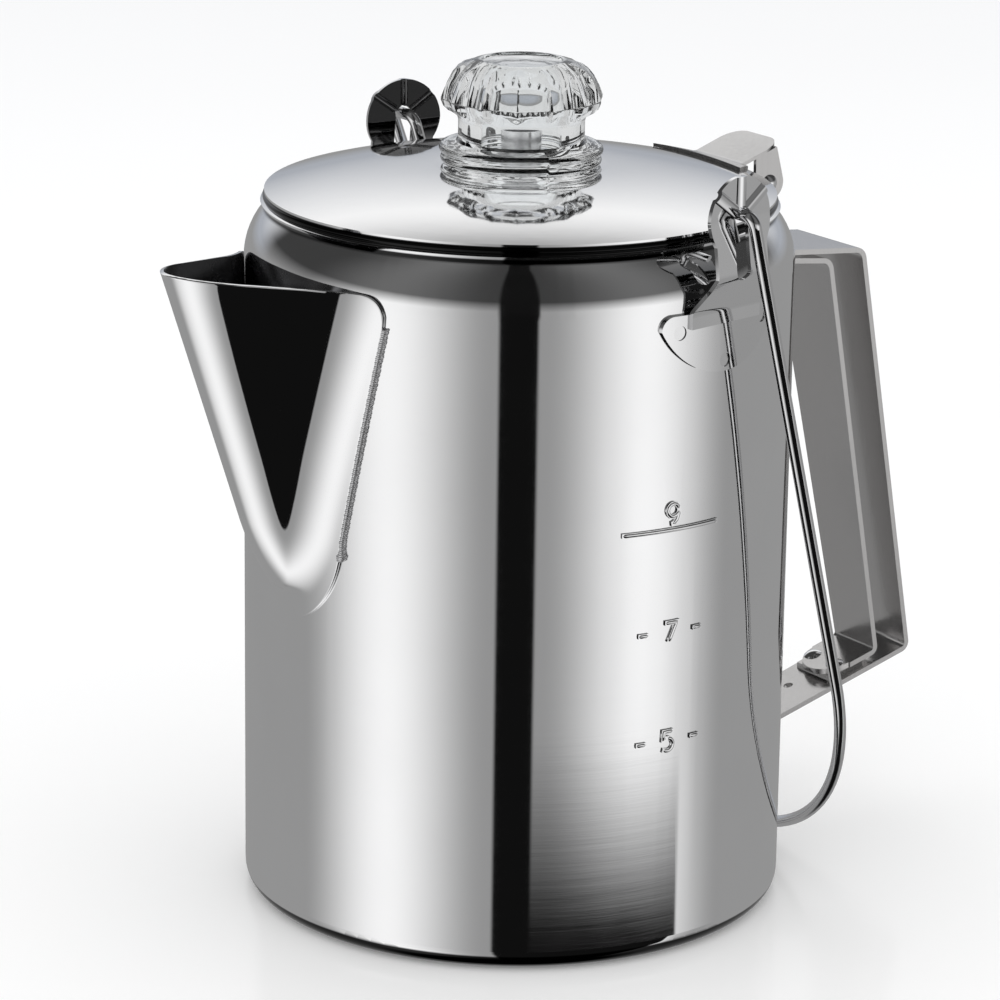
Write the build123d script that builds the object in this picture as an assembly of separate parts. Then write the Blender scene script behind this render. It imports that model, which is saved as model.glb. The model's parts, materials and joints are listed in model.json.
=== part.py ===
from build123d import *
from math import acos, asin, atan2, cos, degrees, hypot, radians, sin, sqrt
import os

# Stove-top coffee percolator. Millimetres. Origin: centre of the base on the table.
# +Z is up, +X points to the handle and the lid hinge, -X to the spout, and the two
# bail brackets stand on the -Y and +Y sides.

# ---- driving dimensions ---------------------------------------------------------
GAP = 0.02                    # seam between pieces that touch
FAR = 200.0                   # reach of a cutting tool that goes past the whole pot

POT_RADIUS = 65.0
POT_SHEET = 0.8
BASE_CORNER = 5.0
SHOULDER_Z = 155.0            # the straight wall ends here
SHOULDER_ARC = 17.4
NECK_RADIUS = 60.2
LIP_RADIUS = 61.1
LIP_Z = 168.6

POUR_HOLE_RADIUS = 2.5
POUR_ROWS = ((149.0, 6), (140.5, 5), (132.0, 4), (123.5, 3), (115.0, 2), (106.5, 1))
POUR_PITCH_DEG = 7.6

MARK_ANGLE = -92.0            # direction of the level marks round the pot
MARK_HEIGHT = 0.45            # how far the pressed marks stand out
MARK_STROKE = 1.1
MARK_LEVELS = ((80.0, "7"), (53.7, "5"))
FULL_MARK_Z = 108.2
FULL_LINE_Z = 104.4

SPOUT_SHEET = 0.9
SPOUT_TIP = (96.9, 162.3)     # distance from the pot's axis and height of the tip
SPOUT_REAR_Z = 158.3          # height of the spout's rim where it meets the pot
SPOUT_SLOPE = 0.335           # how fast the front ridge comes in, going down
RIDGE_END = ((102.2, 76.8), (98.0, 75.1), (94.0, 73.3), (90.3, 71.3), (86.5, 68.4), (83.4, 65.1))
WELD_HALF = 19.7              # half width of the spout's foot at WELD_Z
WELD_Z = 99.8
WELD_SLOPE = 0.2056
WELD_LOW_Z = 77.9             # lowest point of the spout's foot
FOOT_TOP_Z = 157.0
SPOUT_FLANGE = 1.6            # strip of the foot between the gusset and the edge
WELD_BEAD = 1.3
NOSE_RADIUS = 7.0

BRACKET_ANGLE = 80.0          # the bail brackets' direction from the handle
BRACKET_SHEET = 1.0
FLAP_HALF = 18.3
FLAP_WIDE_Z = 151.0
FLAP_TOP_Z = 154.4
FLAP_BOTTOM_Z = 139.8
ARM_LOW_HALF = 11.2
CREST_R = 71.2                # outermost bend of the bracket's arm
CREST_Z = 162.7
CREST_HALF = 8.2
LOBE_R = 69.5
LOBE_Z = 175.4
LOBE_RADIUS = 9.8
SLOT_HALF = 2.3
SLOT_Z = (163.9, 176.2)       # centres of the slot's round ends
FLUTE_DEG = (35, 90, 145)     # directions of the lobe's three pressed flutes
FLUTE_RADIUS = 2.0
FLUTE_RISE = 0.8              # how far a flute stands out from the lobe
SPOT_RADIUS = 1.7
SPOT_DEPTH = 0.3

WIRE_RADIUS = 1.45
BAIL_X = 12.0
BAIL_Z = 176.6
BAIL_LENGTH = 182.0
BAIL_BOW = 62.5               # radius of the bail's round end
BAIL_TOP_HALF = 73.2
BAIL_HOOK_HALF = 63.3
BAIL_HOOK_DROP = 8.0
BAIL_BEND = 2.4
BAIL_REST_X = 66.85           # the hanging bail's end rests just clear of the wall

STRAP_SHEET = 1.3
STRAP_TOP_HALF = 12.0
STRAP_LOW_HALF = 8.5
STRAP_TOP_Z = 147.0
STRAP_LOW_Z = 25.0
GRIP = ((66.4, 150.7), (95.7, 148.1), (117.8, 39.7), (66.4, 25.0))
INNER_GRIP = ((67.8, 148.4), (86.4, 146.2), (108.4, 39.9), (92.4, 35.3))
STRAP_FLANGE = 12.5
INNER_NARROWER = 1.2
END_ROUND = 7.3               # radius of the inner strap's round end
RIVET_X = 98.0
RIVET_Y = 4.4
RIVET_SHANK = 1.35
RIVET_HEAD = 2.3
RIVET_PLAY = 0.05
SPACER_REACH = (-4.2, 6.0)    # the packing plate's ends, from the rivets along X
SPACER_HALF = 6.8
JIG_HOLE = (86.8, 1.5, 1.2)   # x, y and radius of the locating hole in the lower leg

HINGE_X = 67.2
HINGE_Z = 166.8
PIN_RADIUS = 1.5
PIN_PLAY = 0.05
EAR_SHEET = 1.0
EAR_RADIUS = 4.2
LEAF_EAR_OUT = 9.2
POT_EAR_OUT = 8.0
BRACKET_LOW_Z = 151.2
PIN_HEAD = 2.1

LID_SHEET = 0.6
LID_RIM_RADIUS = 60.2
LID_RIM_Z = 170.5
LID_EDGE_Z = 171.3
LID_SEAT_RADIUS = 20.5
LID_SEAT_Z = 177.28
LID_DOME_RISE = 1.3           # how much the dome bows above a straight cone
LID_SKIRT_RADIUS = 58.7
LID_SKIRT_Z = 160.5
LID_BEAD_RADIUS = 60.55
LID_BEAD_Z = 168.88
LEAF_SHEET = 0.9
LEAF_FRONT_X = 51.7
LEAF_FRONT_HALF = 17.3
LEAF_FOOT_RADIUS = 59.9
THUMB_ROOT = (58.6, 172.6)
THUMB_TIP = (70.9, 176.9)

KNOB_HOLE = 14.35
KNOB_PLUG = 14.27
KNOB_BORE = 9.4
KNOB_BOTTOM_Z = 172.4
KNOB_NECK = 14.95
KNOB_NECK_Z = 189.3
KNOB_FLANGE = 19.4
KNOB_FLANGE_Z = 181.2
KNOB_STEP = 17.5
KNOB_CAP = 19.15
KNOB_CAP_Z = 193.2
KNOB_TOP_Z = 202.0
KNOB_RING = 9.8
KNOB_FACETS = 14
LUG_RADIUS = 16.6
LUG_DEG = 40.0
LUG_Z = (174.3, 176.4)

STEM_RADIUS = 4.75
STEM_WALL = 0.7
STEM_TOP_Z = 186.5
FOOT_RADIUS = 37.0
FOOT_Z = POT_SHEET + GAP
FOOT_RISE = 14.5
STOP_Z = 98.0
STOP_HEIGHT = 3.0
STOP_RADIUS = 7.5
SLIDE_PLAY = 0.09

BASKET_TOP_Z = 155.5
BASKET_LOW_RADIUS = 44.5
BASKET_TOP_RADIUS = 46.5
BASKET_RIM_RADIUS = 48.3
BASKET_SHEET = 0.7
BASKET_CORNER = 4.0
SLEEVE_WALL = 0.8
SLEEVE_TOP_Z = 161.5
SIEVE_HOLE = 1.1
SIEVE_RINGS = ((12.0, 10), (19.0, 16), (26.0, 22), (33.0, 28), (40.0, 34))
COVER_DISH = 2.0


# ---- helpers --------------------------------------------------------------------
def radial_plane(angle, radius=0.0, z=0.0):
    """Plane that faces outwards: local X runs round the pot, local Y is up."""
    out = Vector(cos(radians(angle)), sin(radians(angle)), 0)
    round_pot = Vector(-sin(radians(angle)), cos(radians(angle)), 0)
    return Plane(origin=out * radius + Vector(0, 0, z), x_dir=round_pot, z_dir=out)


def ring(outer, inner, low, high):
    """Round wall about the pot's axis from height low to height high."""
    wall = Cylinder(outer, high - low) - Cylinder(inner, high - low)
    return Pos(0, 0, (low + high) / 2) * wall


def rod(radius, low, high):
    """Round bar on the pot's axis from height low to height high."""
    return Pos(0, 0, (low + high) / 2) * Cylinder(radius, high - low)


def rod_y(radius, x, z, low, high):
    """Round bar along Y through (x, z) from y = low to y = high."""
    return Pos(x, (low + high) / 2, z) * Rot(90, 0, 0) * Cylinder(radius, high - low)


def block(x, y, z):
    """Box given by its low and high limits on each axis."""
    size = Box(x[1] - x[0], y[1] - y[0], z[1] - z[0])
    return Pos((x[0] + x[1]) / 2, (y[0] + y[1]) / 2, (z[0] + z[1]) / 2) * size


def path(*points):
    """Polyline in the XZ plane through (radius, height) pairs."""
    return Polyline(*[(r, 0, z) for r, z in points])


def bow(start, middle, end):
    """Arc in the XZ plane through three (radius, height) points."""
    return ThreePointArc(*[(r, 0, z) for r, z in (start, middle, end)])


def turned(*outline):
    """Solid of revolution about Z from a closed outline in the XZ plane."""
    return revolve(make_face(list(outline)), Axis.Z)


def one_solid(shape):
    """The shape's largest solid, without slivers left by a cut."""
    return max(shape.solids(), key=lambda solid: solid.volume)


def on_circle(centre, radius, angle):
    """Point of a circle, given its centre, radius and angle in degrees."""
    return (centre[0] + radius * cos(radians(angle)), centre[1] + radius * sin(radians(angle)))


def sheet_profile(points, bends, sheet):
    """Face of a bent strip seen edge on. The points run along its left-hand face."""
    inner = []
    inner_bends = []
    for index, point in enumerate(points):
        before = points[max(index - 1, 0)]
        after = points[min(index + 1, len(points) - 1)]
        first = atan2(point[1] - before[1], point[0] - before[0])
        second = atan2(after[1] - point[1], after[0] - point[0])
        if index == 0:
            first = second
        if index == len(points) - 1:
            second = first
        middle = (first + second) / 2
        reach = sheet / cos((second - first) / 2)
        inner.append((point[0] + reach * sin(middle), point[1] - reach * cos(middle)))
        if first != second:
            towards = sheet if second < first else -sheet
            inner_bends.append(max(bends[index - 1] - towards, 0.4))
    outer_line = FilletPolyline(*points, radius=list(bends))
    inner_line = FilletPolyline(*inner, radius=inner_bends)
    ends = [Line(points[0], inner[0]), Line(points[-1], inner[-1])]
    return make_face([*outer_line.edges(), *inner_line.edges(), *ends])


def side_extrude(face, half):
    """Solid from a face drawn in (x, z), reaching half to each side of y = 0."""
    return extrude(Plane.XZ * face, half, both=True)


def front_extrude(face, low, high):
    """Solid from a face drawn in (y, z), reaching from x = low to x = high."""
    return extrude(Plane(origin=(low, 0, 0), x_dir=(0, 1, 0), z_dir=(1, 0, 0)) * face, high - low)


def dome(radius, height):
    """Domed head standing on z = 0."""
    ball = (radius * radius + height * height) / (2 * height)
    return (Pos(0, 0, height - ball) * Sphere(ball)) & (Pos(0, 0, height / 2) * Cylinder(radius, height))


# ---- pot ------------------------------------------------------------------------
def pot_skin(inset):
    """Edges of the pot's sheet moved inwards by inset, and the lip's end point."""
    centre = (POT_RADIUS - SHOULDER_ARC, SHOULDER_Z)
    arc = SHOULDER_ARC - inset
    corner = BASE_CORNER - inset
    corner_centre = (POT_RADIUS - BASE_CORNER, BASE_CORNER)
    wall = POT_RADIUS - inset
    neck_deg = degrees(acos((NECK_RADIUS - inset - centre[0]) / arc))
    neck = on_circle(centre, arc, neck_deg)
    lip = (LIP_RADIUS - inset, LIP_Z + inset * 0.5)
    low = (corner_centre[0], inset)
    edges = [
        path((0, inset), low),
        bow(low, on_circle(corner_centre, corner, -45), (wall, BASE_CORNER)),
        path((wall, BASE_CORNER), (wall, SHOULDER_Z)),
        bow((wall, SHOULDER_Z), on_circle(centre, arc, neck_deg / 2), neck),
        path(neck, lip),
    ]
    return edges, lip


def level_digit(name):
    """Centre line of a plain numeral about 5 mm tall."""
    if name == "7":
        return [Polyline((-1.6, 2.3), (1.6, 2.3), (-0.5, -2.4))]
    if name == "5":
        return [
            Polyline((1.4, 2.3), (-1.2, 2.3), (-1.3, 0.5), (-0.2, 0.7)),
            ThreePointArc((-0.2, 0.7), (1.5, -0.85), (-0.2, -2.4)),
            Line((-0.2, -2.4), (-1.5, -2.1)),
        ]
    return [
        CenterArc((0, 0.85), 1.5, 0, 360),
        ThreePointArc((1.5, 0.85), (1.0, -1.5), (-0.6, -2.4)),
    ]


def pressed(lines, angle, z):
    """Raised strokes on the wall along centre lines drawn round (angle, z)."""
    strokes = []
    for line in lines:
        for face in trace(line, MARK_STROKE).faces():
            strokes.append(radial_plane(angle, POT_RADIUS - 0.6, z) * extrude(face, 3.0))
    return strokes


def level_marks():
    """Numerals and dashes of the level marks, cut to the marks' height."""
    strokes = []
    for z, name in MARK_LEVELS:
        strokes += pressed(level_digit(name), MARK_ANGLE, z)
        for side in (-6.4, 6.7):
            strokes += pressed([Line((-1.3, 0), (1.3, 0))], MARK_ANGLE + side, z)
    strokes += pressed(level_digit("9"), MARK_ANGLE, FULL_MARK_Z)
    for step in range(-2, 3):
        strokes += pressed([Line((-2.75, 0), (2.75, 0))], MARK_ANGLE + step * 4.6, FULL_LINE_Z)
    limit = rod(POT_RADIUS + MARK_HEIGHT, 40, 120)
    return [stroke & limit for stroke in strokes]


def make_pot():
    """Drawn pot: flat base, straight wall, shoulder, flared lip, pouring holes."""
    outer, outer_lip = pot_skin(0)
    inner, inner_lip = pot_skin(POT_SHEET)
    body = turned(*outer, *inner, path(outer_lip, inner_lip), path((0, 0), (0, POT_SHEET)))
    body += level_marks()
    drill = Cylinder(POUR_HOLE_RADIUS, 12)
    tools = []
    for z, count in POUR_ROWS:
        for index in range(count):
            angle = 180 + (index - (count - 1) / 2) * POUR_PITCH_DEG
            tools.append(radial_plane(angle, POT_RADIUS, z) * drill)
    return one_solid(body - tools)


# ---- spout ----------------------------------------------------------------------
def foot_half(z):
    """Half width of the spout's foot on the pot at height z, above its round end."""
    return WELD_HALF + WELD_SLOPE * (z - WELD_Z)


def gusset_half(z):
    """Half width of the gusset where it meets the pot, closing to a round end."""
    low = RIDGE_END[-1][0] - 0.8
    if z >= WELD_Z:
        return foot_half(z) - SPOUT_FLANGE
    drop = (WELD_Z - z) / (WELD_Z - low)
    return (WELD_HALF - SPOUT_FLANGE) * sqrt(1 - drop * drop)


def gusset_section(z, ridge, inset):
    """Plan outline of the gusset at height z, as a face."""
    half = gusset_half(z)
    meet = sqrt(POT_RADIUS**2 - half**2)
    centre = ridge - NOSE_RADIUS
    nose = NOSE_RADIUS - inset
    reach = hypot(meet - centre, half)
    turn = degrees(atan2(half, meet - centre) - acos(NOSE_RADIUS / reach))
    touch = on_circle((centre, 0), nose, turn)
    foot = on_circle((meet, half), -inset, turn)
    rear = (foot[0] - 8.0, foot[1] * 0.8)
    front = centre + nose
    return make_face([
        ThreePointArc((-touch[0], touch[1], z), (-front, 0, z), (-touch[0], -touch[1], z)),
        Line((-touch[0], -touch[1], z), (-foot[0], -foot[1], z)),
        Line((-foot[0], -foot[1], z), (-rear[0], -rear[1], z)),
        Line((-rear[0], -rear[1], z), (-rear[0], rear[1], z)),
        Line((-rear[0], rear[1], z), (-foot[0], foot[1], z)),
        Line((-foot[0], foot[1], z), (-touch[0], touch[1], z)),
    ])


def gusset(inset):
    """Solid gusset, moved inwards by inset: a straight upper part and a curved end."""
    above = 6.0
    top = (SPOUT_TIP[1] + above, SPOUT_TIP[0] + SPOUT_SLOPE * above)
    upper = [gusset_section(z, ridge, inset) for z, ridge in (RIDGE_END[0], top)]
    lower = [gusset_section(z, ridge, inset) for z, ridge in RIDGE_END]
    return loft(upper, ruled=True) + loft(lower, ruled=True)


def foot_face(grow):
    """Outline of the spout's foot on the pot, in (y, z), moved outwards by grow."""
    shoulder = FOOT_TOP_Z - 5
    wide = foot_half(shoulder) + grow
    half = WELD_HALF + grow
    top = FOOT_TOP_Z + grow
    return make_face([
        ThreePointArc((-half, WELD_Z), (0, WELD_LOW_Z - grow), (half, WELD_Z)),
        Line((half, WELD_Z), (wide, shoulder)),
        ThreePointArc((wide, shoulder), (wide - 1.4, top - 1.6), (wide - 5, top)),
        Line((wide - 5, top), (5 - wide, top)),
        ThreePointArc((5 - wide, top), (1.4 - wide, top - 1.6), (-wide, shoulder)),
        Line((-wide, shoulder), (-half, WELD_Z)),
    ])


def make_spout():
    """Sheet-metal spout: folded gusset on a foot that lies round the pot, with its weld."""
    start = POT_RADIUS + GAP
    foot = front_extrude(foot_face(0), -FAR, 0) & ring(start + SPOUT_SHEET, start, 70, 165)
    edge = front_extrude(foot_face(0.7), -FAR, 0) - front_extrude(foot_face(-0.7), -FAR, 0)
    bead = edge & ring(start + WELD_BEAD, start, 70, 150)
    body = gusset(0) + foot + bead
    body -= gusset(SPOUT_SHEET)
    body -= rod(start, 0, FAR)
    rim = make_face(Polyline(
        (-FAR, SPOUT_TIP[1] + 4), (-SPOUT_TIP[0], SPOUT_TIP[1]), (-60, SPOUT_REAR_Z),
        (0, SPOUT_REAR_Z), (0, FAR), (-FAR, FAR), close=True))
    body -= side_extrude(rim, FAR)
    return one_solid(body)


# ---- bail brackets and bail -----------------------------------------------------
def flute(angle, radius):
    """Bar along one pressed flute of the lobe, from the slot outwards."""
    length = LOBE_RADIUS + 2
    middle = on_circle((0, SLOT_Z[1]), length / 2, angle)
    axis_x = LOBE_R + FLUTE_RISE - FLUTE_RADIUS
    return Pos(axis_x, *middle) * Rot(angle - 90, 0, 0) * Cylinder(radius, length)


def make_bracket(side):
    """Sheet-metal bail bracket on one side: flap on the wall, bent arm, slotted lobe."""
    start = POT_RADIUS + 0.05
    outer = start + BRACKET_SHEET
    flap_face = make_face([
        ThreePointArc((-FLAP_HALF, FLAP_WIDE_Z), (0, FLAP_BOTTOM_Z), (FLAP_HALF, FLAP_WIDE_Z)),
        ThreePointArc((FLAP_HALF, FLAP_WIDE_Z), (17.4, 153.4), (15.0, FLAP_TOP_Z)),
        Line((15.0, FLAP_TOP_Z), (-15.0, FLAP_TOP_Z)),
        ThreePointArc((-15.0, FLAP_TOP_Z), (-17.4, 153.4), (-FLAP_HALF, FLAP_WIDE_Z)),
    ])
    flap = front_extrude(flap_face, 0, FAR) & ring(outer, start, 135, 160)
    bends = ((outer, 151.0), (outer, 154.6), (CREST_R, CREST_Z), (LOBE_R, LOBE_Z), (LOBE_R, 190.0))
    arm = side_extrude(sheet_profile(bends[::-1], (6.0, 3.0, 3.0), BRACKET_SHEET), 20)
    waist = make_face(Polyline(
        (-ARM_LOW_HALF, 151.0), (ARM_LOW_HALF, 151.0), (ARM_LOW_HALF, 154.8),
        (CREST_HALF + 0.5, 160.0), (CREST_HALF, CREST_Z), (CREST_HALF, LOBE_Z),
        (-CREST_HALF, LOBE_Z), (-CREST_HALF, CREST_Z), (-CREST_HALF - 0.5, 160.0),
        (-ARM_LOW_HALF, 154.8), close=True))
    front = waist + Pos(0, LOBE_Z) * Circle(LOBE_RADIUS)
    slot = Pos(0, (SLOT_Z[0] + SLOT_Z[1]) / 2) * Rot(0, 0, 90) * SlotCenterToCenter(
        SLOT_Z[1] - SLOT_Z[0], 2 * SLOT_HALF)
    arm &= front_extrude(front, 0, FAR)
    limit = front_extrude(Pos(0, LOBE_Z) * Circle(LOBE_RADIUS), LOBE_R - BRACKET_SHEET, FAR)
    for angle in FLUTE_DEG:
        arm += flute(angle, FLUTE_RADIUS) & limit
        arm -= flute(angle, FLUTE_RADIUS - BRACKET_SHEET)
    body = flap + arm - front_extrude(slot, 0, FAR)
    for y, z in ((0, 142.4), (13.4, 150.4), (-13.4, 150.4)):
        angle = degrees(asin(y / POT_RADIUS))
        body -= radial_plane(angle, outer + 2 - SPOT_DEPTH, z) * Cylinder(SPOT_RADIUS, 4)
    body = one_solid(body - rod(start, 0, SHOULDER_Z + 2))
    return Rot(0, 0, side * BRACKET_ANGLE) * body


def make_bail():
    """Wire bail: hooked ends, two legs that close in, and a round end."""
    tilt = asin((BAIL_REST_X - BAIL_X) / BAIL_LENGTH)
    down = Vector(sin(tilt), 0, -cos(tilt))
    flat = Plane(origin=(BAIL_X, 0, BAIL_Z), x_dir=(0, 1, 0), z_dir=Vector(0, 1, 0).cross(down))
    centre = (0, BAIL_LENGTH - BAIL_BOW)
    away = hypot(BAIL_TOP_HALF, centre[1])
    lean = atan2(-centre[1], BAIL_TOP_HALF) + acos(BAIL_BOW / away)
    meet = on_circle(centre, BAIL_BOW, degrees(lean))
    hook = [(BAIL_HOOK_HALF, BAIL_HOOK_DROP), (BAIL_HOOK_HALF, 0), (BAIL_TOP_HALF, 0), meet]
    right = FilletPolyline(*hook, radius=BAIL_BEND)
    left = FilletPolyline(*[(-y, s) for y, s in hook], radius=BAIL_BEND)
    arc = ThreePointArc(meet, (0, BAIL_LENGTH), (-meet[0], meet[1]))
    line = Wire([*right.edges(), *arc.edges(), *left.edges()])
    start = Plane(origin=(*hook[0], 0), x_dir=(1, 0, 0), z_dir=(0, -1, 0))
    wire = sweep(start * Circle(WIRE_RADIUS), path=line)
    return one_solid(flat * wire)


# ---- handle ---------------------------------------------------------------------
def taper(narrower, low, high):
    """Tool that limits a strap's half width, wider towards the top."""
    slope = (STRAP_TOP_HALF - STRAP_LOW_HALF) / (STRAP_TOP_Z - STRAP_LOW_Z)
    top = STRAP_TOP_HALF - narrower
    bottom = STRAP_LOW_HALF - narrower - slope * (STRAP_LOW_Z - low)
    outline = Polyline(
        (-bottom, low), (bottom, low), (top, STRAP_TOP_Z), (top, high),
        (-top, high), (-top, STRAP_TOP_Z), close=True)
    return front_extrude(make_face(outline), 40, FAR)


def wall_flange(radius, low, high):
    """Strap end bent along the pot's wall, between two heights."""
    return block((40, FAR), (-20, 20), (low, high)) & ring(radius + STRAP_SHEET, radius, low, high)


def lower_leg():
    """Slope of the lower leg and the height of its underside at RIVET_X."""
    slope = (GRIP[2][1] - GRIP[3][1]) / (GRIP[2][0] - GRIP[3][0])
    return slope, GRIP[3][1] + slope * (RIVET_X - GRIP[3][0])


def rivet_tools(radius, height):
    """Two bars through the lower leg at the rivets, square to the leg."""
    slope, z = lower_leg()
    lean = degrees(atan2(slope, 1))
    return [Pos(RIVET_X, y, z) * Rot(0, -lean, 0) * Cylinder(radius, height) for y in (-RIVET_Y, RIVET_Y)]


def make_outer_strap():
    """Outer handle strap: grip, two legs and two flanges on the wall."""
    start = POT_RADIUS + 0.03
    strap = side_extrude(sheet_profile(GRIP, (3.6, 2.6), STRAP_SHEET), 20)
    top = GRIP[0][1]
    low = GRIP[3][1]
    strap += block((start - 2, GRIP[0][0] + 0.6), (-20, 20), (top - STRAP_SHEET, top))
    strap += block((start - 2, GRIP[3][0] + 0.6), (-20, 20), (low, low + STRAP_SHEET))
    strap += wall_flange(start, top - STRAP_FLANGE, top)
    strap += wall_flange(start, low - STRAP_FLANGE, low + STRAP_SHEET)
    strap = (strap & taper(0, 5, 160)) - rod(start, 0, FAR)
    holes = rivet_tools(RIVET_SHANK + RIVET_PLAY, 20)
    holes.append(Pos(JIG_HOLE[0], JIG_HOLE[1], 30) * Cylinder(JIG_HOLE[2], 12))
    return one_solid(strap - holes)


def make_inner_strap():
    """Inner handle strap: stiffens the grip and lies over the lower leg."""
    start = POT_RADIUS + STRAP_SHEET + 0.05
    strap = side_extrude(sheet_profile(INNER_GRIP, (3.6, 2.2), STRAP_SHEET), 20)
    top = INNER_GRIP[0][1]
    strap += block((start - 2, INNER_GRIP[0][0] + 0.6), (-20, 20), (top - STRAP_SHEET, top))
    strap += wall_flange(start, top - 8.5, top)
    strap = (strap & taper(INNER_NARROWER, 5, 160)) - rod(start, 0, FAR)
    end_x = INNER_GRIP[3][0]
    round_x = end_x + END_ROUND - 0.3
    end_round = block((end_x - 5, round_x), (-20, 20), (30, 45))
    end_round -= Pos(round_x, 0, 38) * Cylinder(END_ROUND, 20)
    return one_solid(strap - rivet_tools(RIVET_SHANK + RIVET_PLAY, 20) - end_round)


def plate_underside():
    """Slope and height at RIVET_X of the inner strap's underside above the lower leg."""
    slope = (INNER_GRIP[2][1] - INNER_GRIP[3][1]) / (INNER_GRIP[2][0] - INNER_GRIP[3][0])
    return slope, INNER_GRIP[3][1] + slope * (RIVET_X - INNER_GRIP[3][0])


def make_spacer():
    """Packing plate between the inner strap's end and the lower leg."""
    slope, leg = lower_leg()
    top = leg + STRAP_SHEET * sqrt(1 + slope * slope) + GAP
    plate_slope, under = plate_underside()
    left, right = SPACER_REACH
    outline = Polyline(
        (RIVET_X + left, top + slope * left), (RIVET_X + right, top + slope * right),
        (RIVET_X + right, under + plate_slope * right - GAP),
        (RIVET_X + left, under + plate_slope * left - GAP), close=True)
    plate = side_extrude(make_face(outline), SPACER_HALF)
    return one_solid(plate - rivet_tools(RIVET_SHANK + RIVET_PLAY, 20))


def make_rivets():
    """Two rivets through the plate, the packing and the lower leg."""
    slope, leg = lower_leg()
    lean = atan2(slope, 1)
    _, under = plate_underside()
    top = (under - leg) * cos(lean) + STRAP_SHEET + 0.05
    rivets = []
    for y in (-RIVET_Y, RIVET_Y):
        shank = Pos(0, 0, top / 2) * Cylinder(RIVET_SHANK, top + 0.4)
        heads = Pos(0, 0, top) * dome(RIVET_HEAD, 0.9)
        heads += Pos(0, 0, -0.05) * Rot(180, 0, 0) * dome(RIVET_HEAD, 0.9)
        rivets.append(one_solid(Pos(RIVET_X, y, leg) * Rot(0, -degrees(lean), 0) * (shank + heads)))
    return Compound(children=rivets)


# ---- lid hinge ------------------------------------------------------------------
def eye_face(line_start, line_end):
    """Face that joins a round eye about the hinge pin to a straight edge, in (x, z)."""
    eye = Pos(HINGE_X, HINGE_Z) * Circle(EAR_RADIUS)
    return make_hull([*eye.edges(), Line(line_start, line_end)])


def pair_of_ears(face, outside):
    """Two parallel ears of one outline, with their outer faces at y = -+outside."""
    middle = side_extrude(Pos(HINGE_X, HINGE_Z) * Rectangle(60, 60), outside - EAR_SHEET)
    return side_extrude(face, outside) - middle


def make_hinge_bracket():
    """Channel on the pot above the handle, with two ears round the hinge pin."""
    start = POT_RADIUS + 0.05
    upper = eye_face((start, 155.0), (start + 2.8, 155.0))
    lower = make_face(Polyline(
        (60, BRACKET_LOW_Z), (start + 2.0, BRACKET_LOW_Z), (start + 2.8, 155.2), (60, 155.2), close=True))
    ears = pair_of_ears(upper + lower, POT_EAR_OUT)
    web = block((60, FAR), (-POT_EAR_OUT, POT_EAR_OUT), (BRACKET_LOW_Z, 158.0))
    web &= ring(start + EAR_SHEET, start, BRACKET_LOW_Z, 158.0)
    body = ears + web - rod(start, 0, 160) - rod(LIP_RADIUS + 1.4, 150, 175)
    body -= rod_y(PIN_RADIUS + GAP, HINGE_X, HINGE_Z, -20, 20)
    return one_solid(body)


def make_hinge_pin():
    """Hinge pin with a domed head on each end."""
    reach = LEAF_EAR_OUT + 0.15
    pin = rod_y(PIN_RADIUS, HINGE_X, HINGE_Z, -reach - 0.2, reach + 0.2)
    for side in (-1, 1):
        head = Rot(-90 * side, 0, 0) * dome(PIN_HEAD, 1.2)
        pin += Pos(HINGE_X, side * reach, HINGE_Z) * head
    return one_solid(pin)


def dome_line(shift):
    """Three points of the lid's domed face, from seat to edge, raised by shift."""
    start = (LID_SEAT_RADIUS, LID_SEAT_Z + shift)
    end = (LID_RIM_RADIUS, LID_EDGE_Z + shift)
    middle = ((start[0] + end[0]) / 2, (start[1] + end[1]) / 2 + LID_DOME_RISE)
    return start, middle, end


def tip_limit():
    """Upright tool with two rounded corners, which shapes the thumb plate's tip."""
    bar = Pos(THUMB_TIP[0] - 20, 0) * Rectangle(40, 2 * LEAF_EAR_OUT)
    rounded = fillet(bar.vertices().group_by(Axis.X)[-1], 5.0)
    return extrude(Pos(0, 0, 150) * rounded, 60)


def make_leaf():
    """Lid leaf: foot on the dome, thumb plate and two ears round the pin."""
    low = dome_line(GAP)
    high = dome_line(GAP + LEAF_SHEET)
    skin = turned(bow(*low), path(low[2], high[2]), bow(*high), path(high[0], low[0]))
    half = LEAF_FRONT_HALF
    outline = Polyline(
        (LEAF_FRONT_X, -half), (LEAF_FRONT_X, half), (57.0, 12.6), (61.5, LEAF_EAR_OUT),
        (61.5, -LEAF_EAR_OUT), (57.0, -12.6), close=True)
    foot = skin & rod(LEAF_FOOT_RADIUS, 160, 190) & extrude(Pos(0, 0, 160) * make_face(outline), 30)
    points = ((THUMB_ROOT[0] - 1.6, THUMB_ROOT[1] + 0.1), THUMB_ROOT, THUMB_TIP)
    plate = side_extrude(sheet_profile(points, (3.0,), LEAF_SHEET), LEAF_EAR_OUT) & tip_limit()
    ears = pair_of_ears(eye_face((62.9, 173.3), (69.2, 175.6)), LEAF_EAR_OUT)
    clear_z = LID_RIM_Z - 5
    under = turned(bow(*low), path(low[2], (low[2][0], clear_z), (low[0][0], clear_z), low[0]))
    body = foot + plate + ears - under
    body -= rod_y(PIN_RADIUS + PIN_PLAY, HINGE_X, HINGE_Z, -20, 20)
    return one_solid(body)


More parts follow.
